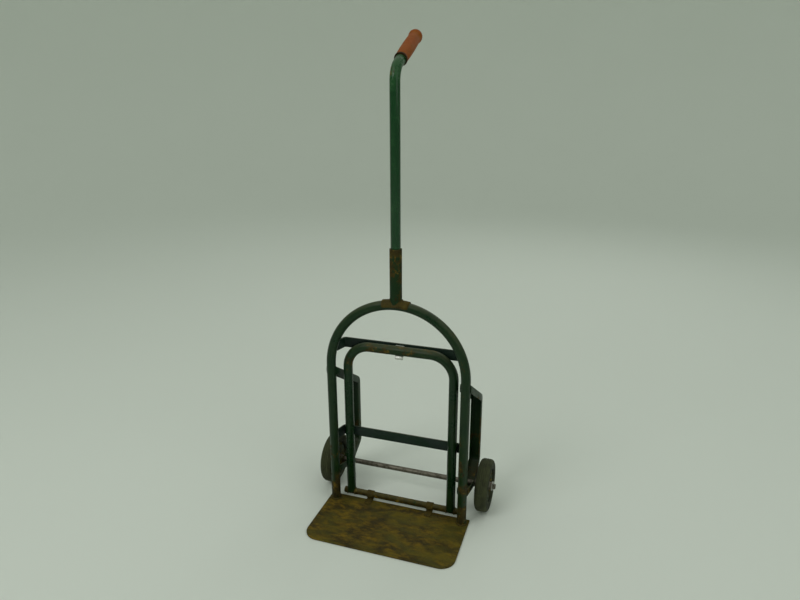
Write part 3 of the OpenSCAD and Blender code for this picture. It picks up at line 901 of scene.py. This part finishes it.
class HANDTRUCK_OT_spring_clip(bpy.types.Operator):
    """Form the spring clip that holds the hoop, with flared lips, and its rivet"""

    bl_idname = "handtruck.spring_clip"
    bl_label = "Spring clip"

    def execute(self, context):
        low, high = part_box("spring_clip")
        thick, width = 0.0015, high.x - low.x
        r = TUBE_R + 0.0003 + thick / 2
        at = Vector((low.x, HOOP_Y, HOOP_TOP))
        splay, flare, leaf, lip = math.radians(4), math.radians(60), 0.003, 0.011
        tip = leaf + lip * math.cos(flare)
        piece = new_piece(
            "clip_spring", bpy.ops.mesh.primitive_circle_add, vertices=90, radius=r, location=tuple(at),
            rotation=(0, math.pi / 2, 0), fill_type="NOTHING",
        )
        pick(piece, "VERT", lambda p, way: p.y < HOOP_Y + r * math.sin(splay) - 1e-4)
        bpy.ops.mesh.delete(type="VERT")
        for side in (1, -1):
            peak = max(v.co.z * side for v in piece.data.vertices)
            pick(piece, "VERT", lambda p, way: p.z * side > peak - 1e-6)
            run((0, -leaf * math.cos(splay), side * leaf * math.sin(splay)))
            run((0, -lip * math.cos(flare), side * lip * math.sin(flare)))
        bpy.ops.mesh.select_all(action="SELECT")
        run((width, 0, 0))
        outward(piece)
        pick(
            piece, "EDGE", lambda p,
            way: abs(way.x) > 0.01 and abs(p.y - HOOP_Y - r * math.sin(splay) + leaf) < 0.0006,
        )
        bpy.ops.mesh.bevel(offset=0.0012, segments=4, affect="EDGES")
        close()
        modify(piece, "SOLIDIFY", thickness=thick, offset=0, use_even_offset=True)
        # The lips' corners are clipped round.
        pick(
            piece, "EDGE", lambda p,
            way: p.y < HOOP_Y - tip * 0.75 and abs(way.x) < 1e-4 and abs(way.length - thick) < 4e-4,
        )
        bpy.ops.mesh.bevel(offset=0.003, segments=4, affect="EDGES")
        close()
        ease(piece, 0.0003, 2, 50)
        fit(piece, "frame", "zinc_steel", "zinc_steel", "spring_clip")
        fit_copy("clip_rivet", "rivet_domed", 0.0002, "frame", "zinc_steel", "zinc_steel")
        return {"FINISHED"}


class HANDTRUCK_OT_hinge_straps(bpy.types.Operator):
    """Ease the edges of the two straps rolled round the hoop's cross tube"""

    bl_idname = "handtruck.hinge_straps"
    bl_label = "Hinge straps"

    def execute(self, context):
        fit_copy("hinge_straps", "straps_rolled", 0.0005, "frame", "rusty_plate", "weld_steel")
        return {"FINISHED"}


class HANDTRUCK_OT_axle(bpy.types.Operator):
    """Make the axle with chamfered ends, its spacers, washers and split pins"""

    bl_idname = "handtruck.axle"
    bl_label = "Axle"

    def execute(self, context):
        r, end = (AXLE_HIGH.z - AXLE_LOW.z) / 2, AXLE_HIGH.x
        rod = turned(
            "axle_rod",
            [
                (0, -end), (r - 0.0012, -end), (r, -end + 0.0012), (r, end - 0.0012), (r - 0.0012, end),
                (0, end),
            ],
            40,
        )
        ease(rod, 0.0002, 1, 30)
        place(rod, (0, AXLE_MID.y, AXLE_MID.z), (0, math.pi / 2, 0))
        fit(rod, "frame", "bare_steel", "axle_steel", "axle")
        for node, name, width, finish, slot in (
            ("axle_spacers", "spacer_rings", 0.0005, "axle_steel", "bare_steel"),
            ("axle_washers", "washer_rings", 0.0003, "zinc_steel", "zinc_steel"),
            ("cotter_pins", "split_pins", 0.0002, "zinc_steel", "zinc_steel"),
        ):
            fit_copy(node, name, width, "frame", slot, finish)
        return {"FINISHED"}


class HANDTRUCK_OT_wheels(bpy.types.Operator):
    """Turn one wheel's tyre, pressed rim halves, hub and bush, and copy them to the other side"""

    bl_idname = "handtruck.wheels"
    bl_label = "Wheels"

    def execute(self, context):
        s = context.scene.hand_truck_sizes
        low, high, middle = box("right_tyre")
        r, half = (high.z - low.z) / 2, (high.x - low.x) / 2
        seat, groove = 0.05, s.tread_groove
        side = [
            (seat + 0.0002, 0.0), (seat + 0.0002, half - 0.004), (seat + 0.004, half - 0.0005),
            (seat + 0.009, half - 0.0012), (seat + 0.011, half - 0.0022), (seat + 0.016, half - 0.0018),
            (r - 0.009, half), (r - 0.003, half - 0.0035), (r - 0.0002, half - 0.009),
        ]
        for at in (0.0095, 0.0035):
            side += [(r, at + 0.0013), (r - groove, at + 0.0009), (r - groove, at - 0.0009), (r, at - 0.0013)]
        side = rounded(side, 0.0026, 3)
        rings = side + [(a, -b) for a, b in reversed(side)]
        tyre = turned("tyre_right", rings, 96)
        tyre_low = min(v.co.z for v in tyre.data.vertices)
        if abs(tyre_low + half) > 0.001:
            raise RuntimeError("the tyre is not as wide as its node")
        bpy.ops.object.shade_smooth_by_angle(angle=math.radians(40))
        # The rim's inner edge stands 1 mm inside the hub's wall, out of sight.
        hub_r = 0.011
        dish = rounded(
            [
                (hub_r, 0.008), (0.019, 0.008), (0.021, 0.0095), (0.031, 0.0138), (0.043, 0.0138),
                (0.0488, 0.011), (0.0488, 0.0006),
            ],
            0.003, 5,
        )
        outer = turned("rim_outer_right", dish, 96)
        ways = [
            f.normal.z for f in outer.data.polygons if 0.036 < f.center.xy.length < 0.04
        ]
        if ways[0] < 0:
            flip(outer)
        modify(outer, "SOLIDIFY", thickness=0.002, offset=0, use_even_offset=True)
        ease(outer, 0.0003, 2, 50)
        inner = copy_of(outer, "rim_inner_right")
        place(inner, (0, 0, 0), (math.pi, 0, 0))
        bolt = new_piece(
            "rim_rivet", bpy.ops.mesh.primitive_uv_sphere_add, segments=16, ring_count=10, radius=0.0034,
            scale=(1, 1, 0.55),
        )
        bolts = []
        for i in range(4):
            copy = copy_of(bolt, "rim_rivet_copy")
            angle = math.pi / 4 + i * math.pi / 2
            place(copy, (0.037 * math.cos(angle), 0.037 * math.sin(angle), 0.0148))
            bolts.append(copy)
        bpy.data.objects.remove(bolt)
        heads = joined("rim_rivets_right", bolts)
        alone(heads)
        bpy.ops.object.shade_smooth()
        pieces = [
            (tyre, "tyre", "tyre", "rubber"), (outer, "rim_outer", "rim_enamel", "rim_enamel"),
            (inner, "rim_inner", "rim_enamel", "rim_enamel"), (heads, "", "rim_enamel", "rim_enamel"),
        ]
        for piece, node, slot, finish in pieces:
            place(piece, (middle.x, AXLE_MID.y, AXLE_MID.z), (0, math.pi / 2, 0))
            twin = mirrored(piece, piece.name.replace("right", "left"))
            for wheel, name in ((piece, "right"), (twin, "left")):
                fit(wheel, name + "_wheel", slot, finish, *([name + "_" + node] if node else []))
        for name in ("left", "right"):
            body = name + "_wheel"
            fit_copy(name + "_hub", "hub_tube_" + name, 0.0004, body, "bare_steel", "axle_steel")
            fit_copy(name + "_bush", "bush_ring_" + name, 0.0003, body, "bronze_bush", "bronze")
        return {"FINISHED"}


def bead_ring(centre, axis, radius, thick):
    """A weld bead laid round a tube."""
    return new_piece(
        "weld", bpy.ops.mesh.primitive_torus_add, major_radius=radius, minor_radius=thick, major_segments=72,
        minor_segments=10, location=tuple(centre), rotation=Vector(axis).to_track_quat("Z", "Y").to_euler(),
    )


def bead_run(start, end, thick):
    """A straight weld bead between two points, with round ends."""
    start, end = Vector(start), Vector(end)
    return new_piece(
        "weld", bpy.ops.mesh.primitive_uv_sphere_add, segments=14, ring_count=24, radius=thick,
        location=tuple((start + end) / 2), rotation=(end - start).to_track_quat("Z", "Y").to_euler(),
        scale=(1, 1, max(1, (end - start).length / 2 / thick + 0.4)),
    )


def keep_side(piece, point, normal, beyond):
    """Cuts a bead by a plane and closes the cut, keeping the side that the normal points to, or the other."""
    open_all(piece)
    bpy.ops.mesh.bisect(
        plane_co=tuple(point), plane_no=tuple(normal), use_fill=True,
        clear_inner=beyond, clear_outer=not beyond,
    )
    close()


class HANDTRUCK_OT_welds(bpy.types.Operator):
    """Lay the weld beads that hold the frame, the socket and the hoop together"""

    bl_idname = "handtruck.welds"
    bl_label = "Welds"

    def execute(self, context):
        bead = context.scene.hand_truck_sizes.bead
        feet, bars, skids, socket, straps, hoop = [], [], [], [], [], []
        # Where the skids' webs meet the legs, up and down.
        top = SKID_TOP + TUBE_R * SKID_SLOPE
        foot = SKID_DIP.y + SKID_DIP.x * SKID_FOOT_SLOPE
        nut_low, nut_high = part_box("socket_nut")
        for side in (1, -1):
            leg = side * LEG_X
            feet.append(bead_ring((leg, LEG_Y, PLATE_TOP + 0.0006), UP, TUBE_R + 0.0004, bead * 1.15))
            for node in ("upper_crossbar", "lower_crossbar"):
                low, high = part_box(node)
                for shift in (0.0035, -0.0035):
                    x, y = side * (high.x - 0.0035) + side * shift * 0.7, LEG_Y + 0.0095 + shift
                    bars.append(bead_run((x, y, low.z + 0.002), (x, y, high.z - 0.002), bead * 0.65))
            for edge in (1, -1):
                x, y = leg + edge * (TUBE_R + 0.0012), LEG_Y - 0.0004
                for first, last in ((top - 0.004, top - 0.024), (foot + 0.003, foot + 0.021)):
                    skids.append(bead_run((x, y, first), (x, y, last), bead * 0.5))
            for z in (top - 0.0075, foot - 0.0035):
                y = LEG_Y + 0.0125
                skids.append(bead_run((leg - 0.009, y, z), (leg + 0.009, y, z), bead * 0.7))
            # A bead round each end of the saddle, kept to the arch's outside.
            out = Vector((side * math.sin(SADDLE_HALF), 0, math.cos(SADDLE_HALF)))
            crown = Vector((0, LEG_Y, SPRING_Z)) + out * LEG_X
            way = Vector((out.z, 0, -out.x))
            socket.append(bead_ring(crown, way, TUBE_R + 0.0012, bead * 0.8))
            keep_side(socket[-1], crown, out, True)
            # A bead along each long edge of the saddle.
            edge = bead_ring(
                (0, LEG_Y + side * (TUBE_R + 0.0018), SPRING_Z - 0.0006), REAR, LEG_X, bead * 0.75
            )
            for way in (1, -1):
                keep_side(edge, (way * (SADDLE_HIGH.x - 0.004), 0, 0), (way, 0, 0), False)
            pick(edge, "VERT", lambda at, n: at.z < SPRING_Z)
            bpy.ops.mesh.delete(type="VERT")
            close()
            socket.append(edge)
            z = PLATE_TOP + 0.0008
            for strap_side in (1, -1):
                x = side * STRAP_X + strap_side * 0.0102
                straps.append(bead_run((x, LEG_Y - 0.003, z), (x, LEG_Y + 0.017, z), bead * 0.45))
            x, y = side * STRAP_X, LEG_Y - 0.0045
            straps.append(bead_run((x - 0.008, y, z), (x + 0.008, y, z), bead * 0.45))
            for reach in (-1, 1):
                x = side * HOOP_X + reach * (TUBE_R - 0.0012)
                hoop.append(bead_ring((x, HOOP_Y, PIVOT_MID.z), ACROSS, PIVOT_R + 0.0003, bead * 0.72))
            x, y = side * (nut_high.x + 0.0008), LEG_Y + 0.0145
            socket.append(bead_run((x, y, nut_low.z + 0.002), (x, y, nut_high.z - 0.002), bead * 0.75))
        # The socket's bead follows the saddle's round back.
        collar = bead_ring((0, LEG_Y, ARCH_TOP), UP, SADDLE_R + 0.0002, bead)
        for vertex in collar.data.vertices:
            y = min(SADDLE_R, abs(vertex.co.y - LEG_Y))
            vertex.co.z += math.sqrt(SADDLE_R**2 - y**2) - vertex.co.x**2 / 2 / LEG_X
        socket.append(collar)
        for name, pieces, body, strength in (
            ("weld_feet", feet, "frame", 0.0016), (
                "weld_crossbars", bars, "frame", 0.001
            ), ("weld_skids", skids, "frame", 0.001),
            (
                "weld_socket", socket, "frame", 0.0016
            ), ("weld_straps", straps, "frame", 0.0006), ("weld_hoop", hoop, "hoop", 0.0007),
        ):
            piece = joined(name, pieces)
            outward(piece)
            roughen(piece, 0.0055, strength, level=0.5)
            alone(piece)
            bpy.ops.object.shade_smooth()
            painted = name in ("weld_crossbars", "weld_skids")
            finish = "frame_enamel" if painted else "weld_steel"
            fit(piece, body, "green_enamel" if painted else "rusty_plate", finish)
        return {"FINISHED"}


class HANDTRUCK_OT_stage(bpy.types.Operator):
    """Set the round pale studio, its soft lights and the camera"""

    bl_idname = "handtruck.stage"
    bl_label = "Stage"

    def execute(self, context):
        c = context.scene.hand_truck_colours
        sweep = rounded([(0.0, -0.0006), (9.0, -0.0006), (9.0, 8.0)], 4.0, 16)
        floor = turned(
            "studio_floor", [(0.4, -0.0006), (1.5, -0.0006)] + [p for p in sweep if p[0] > 1.5], 96
        )
        pick(floor, "EDGE", lambda at, way: Vector(at[:2]).length < 0.45)
        bpy.ops.mesh.edge_face_add()
        bpy.ops.mesh.select_all(action="SELECT")
        bpy.ops.mesh.normals_make_consistent(inside=True)
        close()
        bpy.ops.object.shade_smooth()
        material, node, shader, where = start_material("matt_paper")
        tint = node("TexNoise", {"Vector": where.outputs["Object"], "Scale": 0.8, "Detail": 2.0})
        share = node("MapRange", {"Value": tint, "To Min": 0.0, "To Max": 0.12})
        skin = node("Mix", {0: share, 6: c.floor, 7: linear("#C9D2C4")}, data_type="RGBA").outputs[2]
        wire(shader, {"Base Color": skin, "Roughness": 0.9})
        floor.data.materials.clear()
        floor.data.materials.append(material)
        for name, place_at, aim, size, power in (
            ("key_light", (-1.5, -2.6, 3.4), (0, 0, 0.6), 1.8, 36),
            ("fill_light", (2.8, -1.4, 2.2), (0, 0, 0.6), 2.4, 12),
            ("back_light", (0.4, 3.2, 3.0), (0, 0, 0.7), 2.4, 14),
        ):
            lamp = bpy.data.lights.new(name, "AREA")
            lamp.size, lamp.energy = size, power
            lamp_object = bpy.data.objects.new(name, lamp)
            lamp_object.location = place_at
            lamp_object.rotation_euler = (Vector(aim) - Vector(place_at)).to_track_quat("-Z", "Y").to_euler()
            context.scene.collection.objects.link(lamp_object)
        world = bpy.data.worlds.new("soft_room")
        world.use_nodes = True
        world.node_tree.nodes["Background"].inputs[0].default_value = (*linear("#E9EEE8"), 1)
        world.node_tree.nodes["Background"].inputs[1].default_value = 0.64
        context.scene.world = world
        camera = bpy.data.cameras.new("camera")
        camera.sensor_width = 36
        camera.lens = 27.68
        camera_object = bpy.data.objects.new("camera", camera)
        context.scene.collection.objects.link(camera_object)
        yaw, pitch, roll = math.radians(18.58), math.radians(17.89), math.radians(-0.16)
        ahead = Vector((-math.sin(yaw) * math.cos(pitch), math.cos(yaw) * math.cos(pitch), -math.sin(pitch)))
        turn = ahead.to_track_quat("-Z", "Y").to_matrix().to_4x4() @ Matrix.Rotation(roll, 4, "Z")
        camera_object.matrix_world = Matrix.Translation((0.52335, -1.51443, 1.20227)) @ turn
        context.scene.camera = camera_object
        context.scene.view_settings.view_transform = "Standard"
        return {"FINISHED"}


class HANDTRUCK_PT_panel(bpy.types.Panel):
    """Sizes, colours and steps of the hand truck"""

    bl_label = "Hand truck"
    bl_idname = "HANDTRUCK_PT_panel"
    bl_space_type = "VIEW_3D"
    bl_region_type = "UI"
    bl_category = "Hand truck"

    def draw(self, context):
        for group in (context.scene.hand_truck_sizes, context.scene.hand_truck_colours):
            for name in group.__annotations__:
                self.layout.prop(group, name)
        for step in STEPS:
            self.layout.operator(step.bl_idname)


STEPS = (
    HANDTRUCK_OT_arched_frame,
    HANDTRUCK_OT_load_hoop,
    HANDTRUCK_OT_handle,
    HANDTRUCK_OT_toe_plate,
    HANDTRUCK_OT_crossbars,
    HANDTRUCK_OT_skids,
    HANDTRUCK_OT_socket,
    HANDTRUCK_OT_spring_clip,
    HANDTRUCK_OT_hinge_straps,
    HANDTRUCK_OT_axle,
    HANDTRUCK_OT_wheels,
    HANDTRUCK_OT_welds,
    HANDTRUCK_OT_stage,
)
CLASSES = (HandTruckSizes, HandTruckColours, HANDTRUCK_PT_panel, *STEPS)


def register():
    for item in CLASSES:
        bpy.utils.register_class(item)
    bpy.types.Scene.hand_truck_sizes = bpy.props.PointerProperty(type=HandTruckSizes)
    bpy.types.Scene.hand_truck_colours = bpy.props.PointerProperty(type=HandTruckColours)


def unregister():
    del bpy.types.Scene.hand_truck_colours
    del bpy.types.Scene.hand_truck_sizes
    for item in reversed(CLASSES):
        bpy.utils.unregister_class(item)


def main():
    register()
    for step in STEPS:
        area, name = step.bl_idname.split(".")
        getattr(getattr(bpy.ops, area), name)()


if __name__ == "__main__":
    main()
